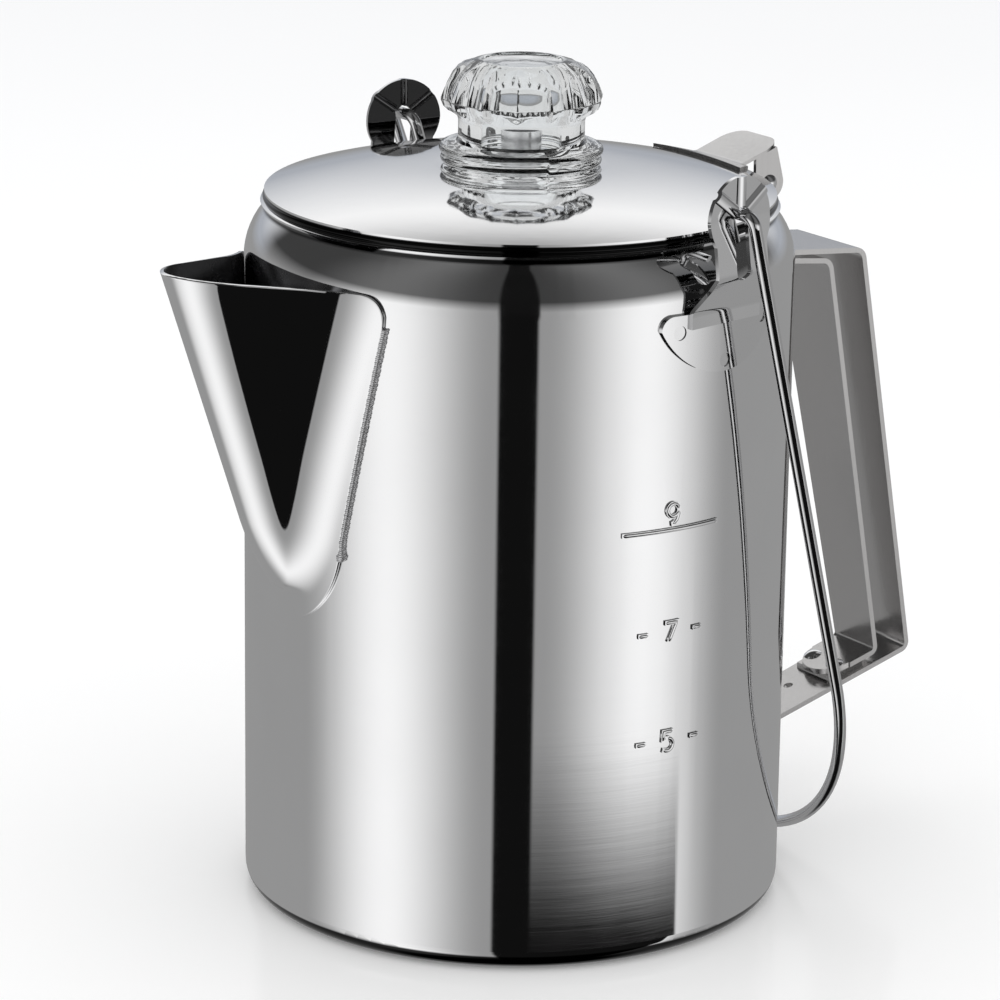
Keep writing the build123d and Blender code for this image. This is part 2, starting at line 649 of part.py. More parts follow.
# ---- lid and knob ---------------------------------------------------------------
def lug(grow, low, high):
    """Sector of a ring under the lid: a lug of the knob, or its notch when grown."""
    half = radians(LUG_DEG / 2) + grow / LUG_RADIUS
    reach = 2 * LUG_RADIUS
    wedge = make_face(Polyline(
        (0, 0), (reach * cos(half), -reach * sin(half)), (reach * cos(half), reach * sin(half)), close=True))
    tool = extrude(Pos(0, 0, low) * wedge, high - low)
    return tool & ring(LUG_RADIUS + grow, KNOB_PLUG - 1, low, high)


def make_lid():
    """Pressed lid: flat knob seat with a bayonet hole, dome, rim, bead and skirt."""
    top = dome_line(0)
    seat_under, middle_under, _ = dome_line(-LID_SHEET)
    skirt_in = LID_SKIRT_RADIUS - LID_SHEET
    corner = (skirt_in, LID_EDGE_Z - LID_SHEET + 0.3)
    rim = (LID_RIM_RADIUS, LID_RIM_Z)
    groove = (LID_SKIRT_RADIUS + 0.5, LID_RIM_Z - 0.15)
    bead = (LID_BEAD_RADIUS - 0.5, LID_BEAD_Z)
    body = turned(
        path((KNOB_HOLE, LID_SEAT_Z), top[0]),
        bow(*top),
        path(top[2], rim, groove),
        bow(groove, (LID_BEAD_RADIUS, LID_BEAD_Z + 0.6), bead),
        path(bead, (LID_SKIRT_RADIUS, LID_BEAD_Z - 0.9), (LID_SKIRT_RADIUS, LID_SKIRT_Z),
             (skirt_in, LID_SKIRT_Z), corner),
        bow(corner, middle_under, seat_under),
        path(seat_under, (KNOB_HOLE, LID_SEAT_Z - LID_SHEET), (KNOB_HOLE, LID_SEAT_Z)),
    )
    notches = [Rot(0, 0, angle) * lug(0.35, 170, 180) for angle in (90, 270)]
    return one_solid(body - notches)


def make_knob():
    """Hollow clear knob: plug, two thread rings, neck and facetted cap."""
    seat = LID_SEAT_Z + GAP
    cap_low = KNOB_NECK_Z + 0.6
    step = (KNOB_STEP - 0.5, seat + 1.3)
    flange_low = (KNOB_FLANGE - 2.4, seat + 2.2)
    flange_high = (KNOB_FLANGE - 1.6, KNOB_FLANGE_Z + 1.6)
    neck = (KNOB_NECK, KNOB_NECK_Z - 2.0)
    under = (KNOB_NECK + 2.4, cap_low + 1.0)
    cap = (KNOB_CAP - 2.6, KNOB_CAP_Z + 4.6)
    top_ring = (KNOB_RING, KNOB_TOP_Z)
    roof = (6.0, KNOB_TOP_Z - 3.6)
    bore_top = (KNOB_BORE, KNOB_CAP_Z - 2)
    body = turned(
        path((KNOB_BORE, KNOB_BOTTOM_Z), (KNOB_PLUG, KNOB_BOTTOM_Z), (KNOB_PLUG, seat),
             (KNOB_STEP - 0.6, seat)),
        bow((KNOB_STEP - 0.6, seat), (KNOB_STEP, seat + 0.6), step),
        path(step, flange_low),
        bow(flange_low, (KNOB_FLANGE, KNOB_FLANGE_Z), flange_high),
        path(flange_high, (KNOB_NECK + 0.4, KNOB_FLANGE_Z + 3.2), neck),
        bow(neck, (KNOB_NECK + 0.6, cap_low), under),
        path(under, (KNOB_CAP, KNOB_CAP_Z), cap),
        bow(cap, (KNOB_CAP - 5.0, KNOB_CAP_Z + 7.0), top_ring),
        path(top_ring, (KNOB_RING - 1.0, KNOB_TOP_Z - 0.5), (0, KNOB_TOP_Z - 0.3),
             (0, KNOB_TOP_Z - 3.2), roof),
        bow(roof, (KNOB_BORE - 1.6, KNOB_TOP_Z - 6.4), bore_top),
        path(bore_top, (KNOB_BORE, KNOB_BOTTOM_Z)),
    )
    for angle in (0, 180):
        body += Rot(0, 0, angle) * lug(0, *LUG_Z)
    facets = []
    for place in PolarLocations(KNOB_CAP - 0.55, KNOB_FACETS):
        facets.append(place * Pos(5, 0, KNOB_CAP_Z + 0.5) * Rot(0, -24, 0) * Box(10, 12, 9))
        facets.append(place * Pos(3.4, 0, KNOB_CAP_Z + 8.4) * Rot(0, -58, 0) * Box(10, 14, 9))
    return one_solid(body - facets)


# ---- pump -----------------------------------------------------------------------
def make_stem():
    """Stem tube that carries the water up into the knob."""
    return one_solid(ring(STEM_RADIUS, STEM_RADIUS - STEM_WALL, FOOT_Z + 2.5, STEM_TOP_Z))


def make_stem_foot():
    """Pump foot: flared bell with feed notches round its rim and a collar on the tube."""
    top = FOOT_Z + FOOT_RISE
    inner = STEM_RADIUS + GAP
    outside = ((FOOT_RADIUS, FOOT_Z + 1.0), (24.0, FOOT_Z + 8.4), (STEM_RADIUS + 3.0, FOOT_Z + 11.0))
    inside = ((inner, FOOT_Z + 10.0), (23.6, FOOT_Z + 7.4), (FOOT_RADIUS - 0.9, FOOT_Z))
    body = turned(
        bow(*outside),
        path(outside[2], (STEM_RADIUS + 2.0, top), (inner, top), inside[0]),
        bow(*inside),
        path(inside[2], (FOOT_RADIUS, FOOT_Z), outside[0]),
    )
    for place in PolarLocations(FOOT_RADIUS - 2, 6):
        body -= place * Pos(0, 0, FOOT_Z) * Rot(0, 90, 0) * Cylinder(1.8, 12)
    return one_solid(body)


def make_stem_collar():
    """Stop ring pressed on the tube, which carries the basket."""
    return one_solid(ring(STOP_RADIUS, STEM_RADIUS + GAP, STOP_Z, STOP_Z + STOP_HEIGHT))


# ---- basket ---------------------------------------------------------------------
def sieve(rings, low, high):
    """Round holes in rings about the axis, as cutting tools."""
    tools = []
    for radius, count in rings:
        for place in PolarLocations(radius, count):
            tools.append(place * rod(SIEVE_HOLE, low, high))
    return tools


def make_basket():
    """Grounds basket: sieve floor, slightly flared wall, rolled rim."""
    floor = STOP_Z + STOP_HEIGHT + GAP
    bore = STEM_RADIUS + SLIDE_PLAY + SLEEVE_WALL + GAP
    turn = BASKET_CORNER * sqrt(0.5)
    sheet = BASKET_SHEET
    low = (BASKET_LOW_RADIUS - BASKET_CORNER, floor)
    side = (BASKET_LOW_RADIUS, floor + BASKET_CORNER)
    mid = (low[0] + turn, floor + BASKET_CORNER - turn)
    rim = (BASKET_TOP_RADIUS, BASKET_TOP_Z - 1.2)
    roll_low = (BASKET_RIM_RADIUS - 0.5, BASKET_TOP_Z - 1.2)
    roll_high = (BASKET_RIM_RADIUS - 0.5, BASKET_TOP_Z)
    inner_mid = (mid[0] - sheet * sqrt(0.5), mid[1] + sheet * sqrt(0.5))
    body = turned(
        path((bore, floor), low),
        bow(low, mid, side),
        path(side, rim, roll_low),
        bow(roll_low, (BASKET_RIM_RADIUS, BASKET_TOP_Z - 0.6), roll_high),
        path(roll_high, (rim[0] - sheet, BASKET_TOP_Z), (side[0] - sheet, side[1])),
        bow((side[0] - sheet, side[1]), inner_mid, (low[0], low[1] + sheet)),
        path((low[0], low[1] + sheet), (bore, floor + sheet), (bore, floor)),
    )
    return one_solid(body - sieve(SIEVE_RINGS, floor - 2, floor + 3))


def make_sleeve():
    """Tube fixed in the basket's floor, which slides on the stem."""
    inner = STEM_RADIUS + SLIDE_PLAY
    outer = inner + SLEEVE_WALL
    floor = STOP_Z + STOP_HEIGHT + GAP
    flange = floor + BASKET_SHEET + GAP
    return one_solid(ring(outer, inner, floor, SLEEVE_TOP_Z) + ring(outer + 2.2, inner, flange, flange + 0.8))


def make_cover():
    """Water spreader: perforated dished disc on the basket's rim."""
    z = BASKET_TOP_Z + GAP
    dish = z - COVER_DISH
    bore = STEM_RADIUS + SLIDE_PLAY + SLEEVE_WALL + SLIDE_PLAY
    edge = BASKET_RIM_RADIUS - 0.3
    body = turned(path(
        (bore, dish), (42.5, dish), (44.0, z), (edge, z), (edge, z + BASKET_SHEET),
        (43.6, z + BASKET_SHEET), (42.1, dish + BASKET_SHEET), (bore, dish + BASKET_SHEET),
        (bore, dish)))
    return one_solid(body - sieve(SIEVE_RINGS, z - 5, z + 3))


# ---- all pieces -----------------------------------------------------------------
def save(node, shape):
    """Write one piece to its STEP file."""
    shape.label = node
    export_step(shape, f"parts/{node}.step")


os.makedirs("parts", exist_ok=True)
save("pot_body", make_pot())
save("spout", make_spout())
save("bail_bracket_left", make_bracket(-1))
save("bail_bracket_right", make_bracket(1))
save("bail_wire", make_bail())
save("handle_outer_strap", make_outer_strap())
save("handle_inner_strap", make_inner_strap())
save("handle_spacer", make_spacer())
save("handle_rivets", make_rivets())
save("hinge_bracket", make_hinge_bracket())
save("hinge_pin", make_hinge_pin())
save("lid_shell", make_lid())
save("lid_hinge_leaf", make_leaf())
save("glass_knob", make_knob())
save("stem_tube", make_stem())
save("stem_foot", make_stem_foot())
save("stem_collar", make_stem_collar())
save("basket_shell", make_basket())
save("basket_sleeve", make_sleeve())
save("basket_cover", make_cover())
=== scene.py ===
import json
import math
import bmesh
import bpy
from mathutils import Matrix, Vector


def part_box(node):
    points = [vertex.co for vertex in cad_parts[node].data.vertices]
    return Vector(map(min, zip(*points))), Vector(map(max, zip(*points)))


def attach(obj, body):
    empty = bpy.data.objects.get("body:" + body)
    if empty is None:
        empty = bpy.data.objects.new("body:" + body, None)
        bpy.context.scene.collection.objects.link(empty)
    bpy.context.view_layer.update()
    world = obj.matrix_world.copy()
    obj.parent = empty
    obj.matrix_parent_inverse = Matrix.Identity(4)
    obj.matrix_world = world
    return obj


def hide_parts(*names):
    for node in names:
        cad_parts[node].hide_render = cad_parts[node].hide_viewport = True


# Stove-top coffee percolator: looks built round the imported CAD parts.
# +Z is up, +X points to the handle, -X to the spout, -Y to the near bail bracket.
# The scene is in metres. The shape sections work in millimetres and multiply by MM.

MM = 0.001

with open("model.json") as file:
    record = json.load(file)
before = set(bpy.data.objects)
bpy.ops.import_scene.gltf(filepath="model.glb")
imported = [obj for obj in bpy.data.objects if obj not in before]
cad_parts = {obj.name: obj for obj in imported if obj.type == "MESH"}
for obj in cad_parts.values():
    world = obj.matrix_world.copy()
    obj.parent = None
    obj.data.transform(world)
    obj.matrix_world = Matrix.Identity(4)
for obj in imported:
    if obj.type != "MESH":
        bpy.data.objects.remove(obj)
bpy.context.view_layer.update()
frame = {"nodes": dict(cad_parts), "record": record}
nodes = frame["nodes"]

# ---- sizes taken from the frame --------------------------------------------------
SPOUT_LOW, SPOUT_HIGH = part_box("spout")
KNOB_LOW, KNOB_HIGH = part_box("glass_knob")
LID_TOP_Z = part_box("lid_shell")[1].z / MM
WALL_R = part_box("pot_body")[1].x / MM     # radius of the pot's wall
LIP_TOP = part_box("pot_body")[1].z         # top of the pot's lip, in metres

# ---- the camera's place ----------------------------------------------------------
CAMERA_AT = Vector((-0.5778, -0.8191, 0.3848))
CAMERA_HEADING = math.radians(34.98)      # from +Y towards +X
CAMERA_DIP = math.radians(16.123)         # below the horizon
CAMERA_ROLL = 0.0136                      # radians
CAMERA_LENS = 156.7                       # millimetres, on a 36 mm sensor


# ---- node helpers ----------------------------------------------------------------
def add(tree, kind, inputs=None, **settings):
    """New shader node with its settings, and inputs given as values or as sockets."""
    made = tree.nodes.new(kind)
    for name, value in settings.items():
        setattr(made, name, value)
    for name, value in (inputs or {}).items():
        if isinstance(value, bpy.types.NodeSocket):
            tree.links.new(value, made.inputs[name])
        else:
            made.inputs[name].default_value = value
    return made


def calc(tree, operation, first, second=0.0, third=0.0):
    """Math node; returns its output socket."""
    values = {0: first, 1: second, 2: third}
    return add(tree, "ShaderNodeMath", values, operation=operation).outputs[0]


def spread(tree, value, low, high, to_low=0.0, to_high=1.0, smooth=False):
    """Map a value from one range to another, clamped; returns the output socket."""
    kind = "SMOOTHSTEP" if smooth else "LINEAR"
    made = add(tree, "ShaderNodeMapRange", {
        "Value": value, "From Min": low, "From Max": high, "To Min": to_low, "To Max": to_high,
    }, interpolation_type=kind)
    return made.outputs[0]


def ramp(tree, value, stops):
    """Colour ramp from (position, grey or colour) stops; returns the colour socket."""
    made = add(tree, "ShaderNodeValToRGB", {"Fac": value})
    elements = made.color_ramp.elements
    while len(elements) > 1:
        elements.remove(elements[-1])
    for index, (place, shade) in enumerate(stops):
        element = elements[0] if index == 0 else elements.new(place)
        element.position = place
        colour = shade if isinstance(shade, tuple) else (shade, shade, shade)
        element.color = (*colour, 1.0)
    return made.outputs["Color"]


def mixed(tree, factor, first, second):
    """Mix two colours; returns the colour socket."""
    made = add(tree, "ShaderNodeMix", data_type="RGBA")
    for index, value in ((0, factor), (6, first), (7, second)):
        if isinstance(value, bpy.types.NodeSocket):
            tree.links.new(value, made.inputs[index])
        else:
            made.inputs[index].default_value = value
    return made.outputs[2]


def dot(tree, vector, axis):
    """Dot product of a vector socket with a fixed axis."""
    made = add(tree, "ShaderNodeVectorMath", {0: vector, 1: axis}, operation="DOT_PRODUCT")
    return made.outputs["Value"]


# ---- studio ----------------------------------------------------------------------
# Directions are degrees round the pot, 0 towards the camera and rising to its right.
# Heights are the z part of a ray's direction, so -1 is straight down.
ROOM = 0.3                    # grey of the room round the cards
CARDS = (-55, 55)             # directions of the two soft cards
CARD_HALF = 45                # each card fades out this far from its middle
CARD_LIGHT = 0.65
CEILING = 0.15                # share of that light above the horizon
FLAG_EDGES = (-8, 8)          # black flag in front, seen by the wall as a dark stripe
PANEL_EDGES = (-5, 75)        # black panel near the table, seen by the spout's cheek
EDGE_SOFT = 0.7               # half width of the flags' soft edges
UNDER_FADE = (-0.95, -0.85)   # darkness under the pot gives way to the table
PANEL_FADE = (-0.33, -0.37)   # top of the panel
SKY_FADE = (0.0, 0.25)        # the room gives way to the ceiling
BACKDROP = (                  # behind the pot, by height, seen by the lid
    (0.1, (0.40, 0.42, 0.46)), (0.5, 0.95), (1.0, 0.6),
)
BACKDROP_FADE = (-0.06, 0.06)
BACKDROP_SPAN = (-0.6, -0.85)  # how far a ray points away from the camera
GLASS_WHITE = 0.6             # share of plain white in what is seen through the glass
WHITE = (1.0, 1.0, 1.0, 1.0)
FLAG_BLACK = (0.005, 0.005, 0.005, 1.0)


def make_studio():
    """World: white surroundings for the camera, soft light cards and flags for the metal."""
    world = bpy.data.worlds.new("studio")
    bpy.context.scene.world = world
    world.use_nodes = True
    tree = world.node_tree
    tree.nodes.clear()
    towards = Vector((-math.sin(CAMERA_HEADING), -math.cos(CAMERA_HEADING), 0.0))
    sideways = Vector((math.cos(CAMERA_HEADING), -math.sin(CAMERA_HEADING), 0.0))
    direction = add(tree, "ShaderNodeTexCoord").outputs["Generated"]
    front = dot(tree, direction, towards)
    side = dot(tree, direction, sideways)
    height = dot(tree, direction, (0.0, 0.0, 1.0))
    angle = calc(tree, "ARCTAN2", side, front)

    def card(middle):
        """Light of one soft card, brightest in the middle."""
        away = calc(tree, "ABSOLUTE", calc(tree, "SUBTRACT", angle, math.radians(middle)))
        return spread(tree, away, math.radians(CARD_HALF), 0.0, 0.0, CARD_LIGHT, smooth=True)

    def flagged(colour, edges, share=1.0):
        """The colour with a black upright flag between two directions."""
        soft = math.radians(EDGE_SOFT)
        left, right = [math.radians(edge) for edge in edges]
        left = spread(tree, angle, left - soft, left + soft)
        right = spread(tree, angle, right - soft, right + soft)
        inside = calc(tree, "MULTIPLY", calc(tree, "SUBTRACT", left, right), share)
        return mixed(tree, inside, colour, FLAG_BLACK)

    light = calc(tree, "ADD", calc(tree, "ADD", card(CARDS[0]), card(CARDS[1])), ROOM)
    light = calc(tree, "MULTIPLY", light, spread(tree, height, *SKY_FADE, 1.0, CEILING))
    light = flagged(light, FLAG_EDGES)
    light = flagged(light, PANEL_EDGES, spread(tree, height, *PANEL_FADE))
    light = mixed(tree, spread(tree, height, *UNDER_FADE, smooth=True), FLAG_BLACK, light)
    away = spread(tree, front, *BACKDROP_SPAN, smooth=True)
    lid_light = calc(tree, "MULTIPLY", away, spread(tree, height, *BACKDROP_FADE))
    metal_light = mixed(tree, lid_light, light, ramp(tree, height, BACKDROP))
    rays = add(tree, "ShaderNodeLightPath")
    glass_light = mixed(tree, GLASS_WHITE, metal_light, WHITE)
    colour = mixed(tree, rays.outputs["Is Glossy Ray"], WHITE, metal_light)
    colour = mixed(tree, rays.outputs["Is Transmission Ray"], colour, glass_light)
    shade = add(tree, "ShaderNodeBackground", {"Color": colour, "Strength": 1.0})
    output = add(tree, "ShaderNodeOutputWorld")
    tree.links.new(shade.outputs[0], output.inputs["Surface"])


def make_floor():
    """Pale floor that only the camera and soft light see, with a faint sheen."""
    half, drop = 12.0, 0.05 * MM
    mesh = bpy.data.meshes.new("floor")
    corners = [(-half, -half, 0), (half, -half, 0), (half, half, 0), (-half, half, 0)]
    mesh.from_pydata(corners, [], [(0, 1, 2, 3)])
    floor = bpy.data.objects.new("floor", mesh)
    bpy.context.scene.collection.objects.link(floor)
    floor.location.z = -drop
    floor.visible_glossy = False
    floor.visible_transmission = False
    material = bpy.data.materials.new("floor")
    material.use_nodes = True
    tree = material.node_tree
    base = tree.nodes["Principled BSDF"]
    position = add(tree, "ShaderNodeNewGeometry").outputs["Position"]
    cloud = add(tree, "ShaderNodeTexNoise", {"Vector": position, "Scale": 1.5, "Detail": 2.0})
    pale = ramp(tree, cloud.outputs["Fac"], [(0.3, 0.925), (0.7, 0.945)])
    tree.links.new(pale, base.inputs["Base Color"])
    tree.links.new(pale, base.inputs["Emission Color"])
    base.inputs["Emission Strength"].default_value = 0.16
    base.inputs["Roughness"].default_value = 0.14
    base.inputs["Specular IOR Level"].default_value = 0.12
    mesh.materials.append(material)


def make_camera():
    """Long-lens camera a little above the pot, on the spout's side."""
    data = bpy.data.cameras.new("camera")
    data.lens = CAMERA_LENS
    data.sensor_width = 36.0
    data.clip_start = 0.05
    data.clip_end = 60.0
    camera = bpy.data.objects.new("camera", data)
    bpy.context.scene.collection.objects.link(camera)
    flat = math.cos(CAMERA_DIP)
    ahead = Vector((math.sin(CAMERA_HEADING) * flat, math.cos(CAMERA_HEADING) * flat,
                    -math.sin(CAMERA_DIP)))
    right = ahead.cross(Vector((0, 0, 1))).normalized()
    up = right.cross(ahead)
    across = right * math.cos(CAMERA_ROLL) + up * math.sin(CAMERA_ROLL)
    upright = up * math.cos(CAMERA_ROLL) - right * math.sin(CAMERA_ROLL)
    turn = Matrix((across, upright, -ahead)).transposed().to_4x4()
    camera.matrix_world = Matrix.Translation(CAMERA_AT) @ turn
    bpy.context.scene.camera = camera
    bpy.context.scene.view_settings.view_transform = "Standard"


# ---- materials -------------------------------------------------------------------
# Painted shade: near-black mixed into the steel's base colour where the pot, the lid and the bail
# brackets lie in shade; the heights below bound the painted bands.
PAINTED_SHADE_BLACK = (0.022, 0.022, 0.022, 1.0)
GRAIN_DEPTH = 0.02 * MM
LIP_SHADE = (LIP_TOP - 2.6 * MM, LIP_TOP - 1.8 * MM, LIP_TOP - 1.2 * MM, LIP_TOP - 0.9 * MM)
SKIRT_SHADE = (170.85 * MM, 170.70 * MM)  # heights on the lid's skirt where painted shade starts, full painted shade at the second
BASE_SHADE = (12.0 * MM, 10.0 * MM)       # the same for the painted shade above the base corner


def round_axis(tree):
    """Object position, with its turn round the axis, radius and height."""
    position = add(tree, "ShaderNodeTexCoord").outputs["Object"]
    parts = add(tree, "ShaderNodeSeparateXYZ", {0: position}).outputs
    angle = calc(tree, "ARCTAN2", parts["Y"], parts["X"])
    squares = calc(tree, "ADD", calc(tree, "MULTIPLY", parts["X"], parts["X"]),
                   calc(tree, "MULTIPLY", parts["Y"], parts["Y"]))
    radius = calc(tree, "SQRT", squares)
    return position, angle, radius, parts["Z"]


def metal(name, colour, rough, grain, grain_size=0.5, along=None, shaded=None):
    """Steel: faint grain in one direction, smudges in the roughness, slight tint.

    The grain runs round the axis, or along the named axis "x", "y" or "z".
    shaded is a function (tree, height) that gives 1 where the metal gets painted shade in its recesses.
    """
    long_scale, cross_scale = 30.0, 1.0 / (0.35 * MM)
    material = bpy.data.materials.new(name)
    material.use_nodes = True
    tree = material.node_tree
    base = tree.nodes["Principled BSDF"]
    position, angle, radius, height = round_axis(tree)
    if along is None:
        lines = add(tree, "ShaderNodeCombineXYZ", {
            "X": calc(tree, "MULTIPLY", angle, 1.2),
            "Y": calc(tree, "MULTIPLY", radius, grain_size / MM),
            "Z": calc(tree, "MULTIPLY", height, grain_size / MM)}).outputs[0]
    else:
        scale = [(long_scale if axis == along else cross_scale) * grain_size for axis in "xyz"]
        lines = add(tree, "ShaderNodeVectorMath", {0: position, 1: scale},
                    operation="MULTIPLY").outputs[0]
    streak = add(tree, "ShaderNodeTexNoise", {"Vector": lines, "Scale": 1.0, "Detail": 4.0,
                                              "Roughness": 0.65}).outputs["Fac"]
    smudge = add(tree, "ShaderNodeTexNoise", {"Vector": position, "Scale": 38.0, "Detail": 5.0,
                                              "Roughness": 0.6}).outputs["Fac"]
    tint = ramp(tree, smudge, [(0.25, tuple(c * 0.965 for c in colour)), (0.75, colour)])
    if shaded:
        # painted shade: the base colour turns near-black where the shaded mask gives 1
        tint = mixed(tree, shaded(tree, height), tint, PAINTED_SHADE_BLACK)
    tree.links.new(tint, base.inputs["Base Color"])
    base.inputs["Metallic"].default_value = 1.0
    blend = calc(tree, "MULTIPLY_ADD", streak, 0.5, calc(tree, "MULTIPLY", smudge, 0.5))
    roughness = spread(tree, blend, 0.3, 0.7, rough * 0.65, rough * 1.35)
    tree.links.new(roughness, base.inputs["Roughness"])
    bump = add(tree, "ShaderNodeBump", {"Height": streak, "Strength": grain,
                                        "Distance": GRAIN_DEPTH})
    tree.links.new(bump.outputs[0], base.inputs["Normal"])
    return material


def clear_glass():
    """Moulded glass: clear, faintly cool, with soft ripples left by the mould."""
    material = bpy.data.materials.new("clear_glass")
    material.use_nodes = True
    tree = material.node_tree
    base = tree.nodes["Principled BSDF"]
    position = add(tree, "ShaderNodeTexCoord").outputs["Object"]
    ripple = add(tree, "ShaderNodeTexNoise", {"Vector": position, "Scale": 160.0, "Detail": 2.0})
    streak = add(tree, "ShaderNodeTexNoise", {"Vector": position, "Scale": 420.0, "Detail": 3.0})
    tint = ramp(tree, streak.outputs["Fac"],
                [(0.3, (0.955, 0.972, 0.975)), (0.7, (0.985, 0.992, 0.992))])
    tree.links.new(tint, base.inputs["Base Color"])
    base.inputs["Transmission Weight"].default_value = 1.0
    base.inputs["IOR"].default_value = 1.47
    base.inputs["Roughness"].default_value = 0.012
    bump = add(tree, "ShaderNodeBump", {"Height": ripple.outputs["Fac"], "Strength": 0.2,
                                        "Distance": 0.05 * MM})
    tree.links.new(bump.outputs[0], base.inputs["Normal"])
    return material


def pot_painted_shade(tree, height):
    """Painted shade under the lip and on the base corner, where it turns down to the table."""
    lip_start = spread(tree, height, *LIP_SHADE[:2], smooth=True)
    lip_stop = spread(tree, height, *LIP_SHADE[2:])
    normal = add(tree, "ShaderNodeNewGeometry").outputs["Normal"]
    lean = add(tree, "ShaderNodeSeparateXYZ", {0: normal}).outputs["Z"]
    base = calc(tree, "MULTIPLY", spread(tree, lean, -0.20, -0.30, smooth=True),
                spread(tree, height, *BASE_SHADE))
    return calc(tree, "MAXIMUM", calc(tree, "SUBTRACT", lip_start, lip_stop), base)


def lid_painted_shade(tree, height):
    """Painted shade under the lid's rim, down its skirt."""
    return spread(tree, height, *SKIRT_SHADE)


def inward_painted_shade(tree, _height):
    """Painted shade on faces that look towards the pot's axis."""
    geometry = add(tree, "ShaderNodeNewGeometry").outputs
    flat = add(tree, "ShaderNodeVectorMath", {0: geometry["Position"], 1: (1.0, 1.0, 0.0)},
               operation="MULTIPLY").outputs[0]
    out = add(tree, "ShaderNodeVectorMath", {0: flat}, operation="NORMALIZE").outputs[0]
    facing = add(tree, "ShaderNodeVectorMath", {0: out, 1: geometry["Normal"]},
                 operation="DOT_PRODUCT").outputs["Value"]
    return spread(tree, facing, -0.25, -0.60, 0.0, 0.84)


POLISHED = metal("polished_steel", (0.965, 0.965, 0.970), 0.045, 0.10)
# Copies of the polished steel with painted shade in their recesses, for the pot, the lid and the bail
# brackets.
POT_STEEL_PAINTED_SHADE = metal("pot_steel_painted_shade", (0.965, 0.965, 0.970), 0.045, 0.10, shaded=pot_painted_shade)
LID_STEEL_PAINTED_SHADE = metal("lid_steel_painted_shade", (0.965, 0.965, 0.970), 0.060, 0.14, shaded=lid_painted_shade)
BRACKET_STEEL_PAINTED_SHADE = metal("bracket_steel_painted_shade", (0.94, 0.94, 0.945), 0.06, 0.12, shaded=inward_painted_shade)
# Painted shade: a dark copy of the steel for the inside of the spout.
SPOUT_INSIDE_PAINTED_SHADE = metal("spout_inside_painted_shade", (0.16, 0.16, 0.165), 0.25, 0.4)
SATIN = metal("satin_steel", (0.66, 0.65, 0.645), 0.20, 0.5, along="z")
WIRE = metal("wire", (0.84, 0.84, 0.845), 0.10, 0.15, grain_size=0.4)
INNER = metal("inner_steel", (0.82, 0.82, 0.83), 0.24, 0.4)
WELD = metal("weld_bead", (0.95, 0.95, 0.96), 0.42, 0.5, grain_size=1.6)
GLASS = clear_glass()
BY_SLOT = {"polished_steel": POLISHED, "satin_steel": SATIN, "wire": WIRE,
           "inner_steel": INNER, "clear_glass": GLASS}
BY_NODE = {"pot_body": POT_STEEL_PAINTED_SHADE, "lid_shell": LID_STEEL_PAINTED_SHADE, "bail_bracket_left": BRACKET_STEEL_PAINTED_SHADE,
           "bail_bracket_right": BRACKET_STEEL_PAINTED_SHADE}


# ---- mesh helpers ----------------------------------------------------------------
def new_piece(name, points, faces, material, node=None, body="pot"):
    """Mesh object from points in millimetres, smooth shaded, riding on a body."""
    mesh = bpy.data.meshes.new(name)
    mesh.from_pydata([tuple(c * MM for c in point) for point in points], [], faces)
    mesh.validate()
    mesh.polygons.foreach_set("use_smooth", [True] * len(mesh.polygons))
    mesh.materials.append(material)
    piece = bpy.data.objects.new(name, mesh)
    bpy.context.scene.collection.objects.link(piece)
    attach(piece, body)
    if node:
        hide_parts(node)
    return piece


def grid_faces(rows, columns, closed=False):
    """Quads of a grid of points stored row by row; closed joins the last column to the first."""
    faces = []
    for row in range(rows - 1):
        here, above = row * columns, (row + 1) * columns
        for column in range(columns if closed else columns - 1):
            after = (column + 1) % columns
            faces.append((here + column, here + after, above + after, above + column))
    return faces


def root(function, low, high):
    """Zero of a rising function between two limits."""
    for _ in range(40):
        middle = (low + high) / 2
        if function(middle) < 0:
            low = middle
        else:
            high = middle
    return (low + high) / 2


def between(value, stops):
    """Straight-line value between (place, value) stops with rising places."""
    for (x0, y0), (x1, y1) in zip(stops, stops[1:]):
        if value <= x1:
            return y0 + (y1 - y0) * max(value - x0, 0.0) / (x1 - x0)
    return stops[-1][1]


# ---- spout -----------------------------------------------------------------------
TIP_X = -SPOUT_LOW.x / MM                 # distance of the tip from the pot's axis
TIP_Z = SPOUT_HIGH.z / MM
FOOT_LOW_Z = SPOUT_LOW.z / MM
SPOUT_SHEET = 0.86                        # thickness of the folded sheet
SKIN_R = WALL_R + 0.04 + SPOUT_SHEET      # outer face of the foot, which lies on the wall
RIM_SLOPE = 0.108                         # the rim rises towards the tip
REAR_RIM_Z = TIP_Z - (TIP_X - 60.0) * RIM_SLOPE
RIDGE_SLOPE = 0.335                       # how far the ridge leans out for each step up
RIDGE_BEND_Z = 102.2                      # below this the ridge bends in to the wall
RIDGE_BEND_R = 66.0                       # radius of that bend
FAN_Z = 99.8                              # below this the foot closes in a round end
FAN_HALF = 19.7                           # half width of the foot at that height
FAN_CENTRE_Z = 90.0                       # the fan's rows of points meet on the ridge here
FOOT_SLOPE = 0.2056                       # how fast the foot widens above it
FLANGE = (6.0, 0.9)                       # flat edge of the foot at the bottom and above the fan
CHEEK_FLAT = (116.5, 158.0, 18.0)         # the cheek's flat starts, ends and is this wide there
LOWEST_SECTION_Z = 83.6                   # below this the nose has run out on the wall
RUN_OUT_Z = (82.6, 85.4)                  # the nose fades into the wall between these heights
NOSE_R, CHEEK_R, FILLET_R = 7.0, 18.0, 24.0
NOSE_TURN = math.radians(25.0)            # the tight nose bends this far to each side
CORNER_R = 7.5                            # round corner at the top of the foot


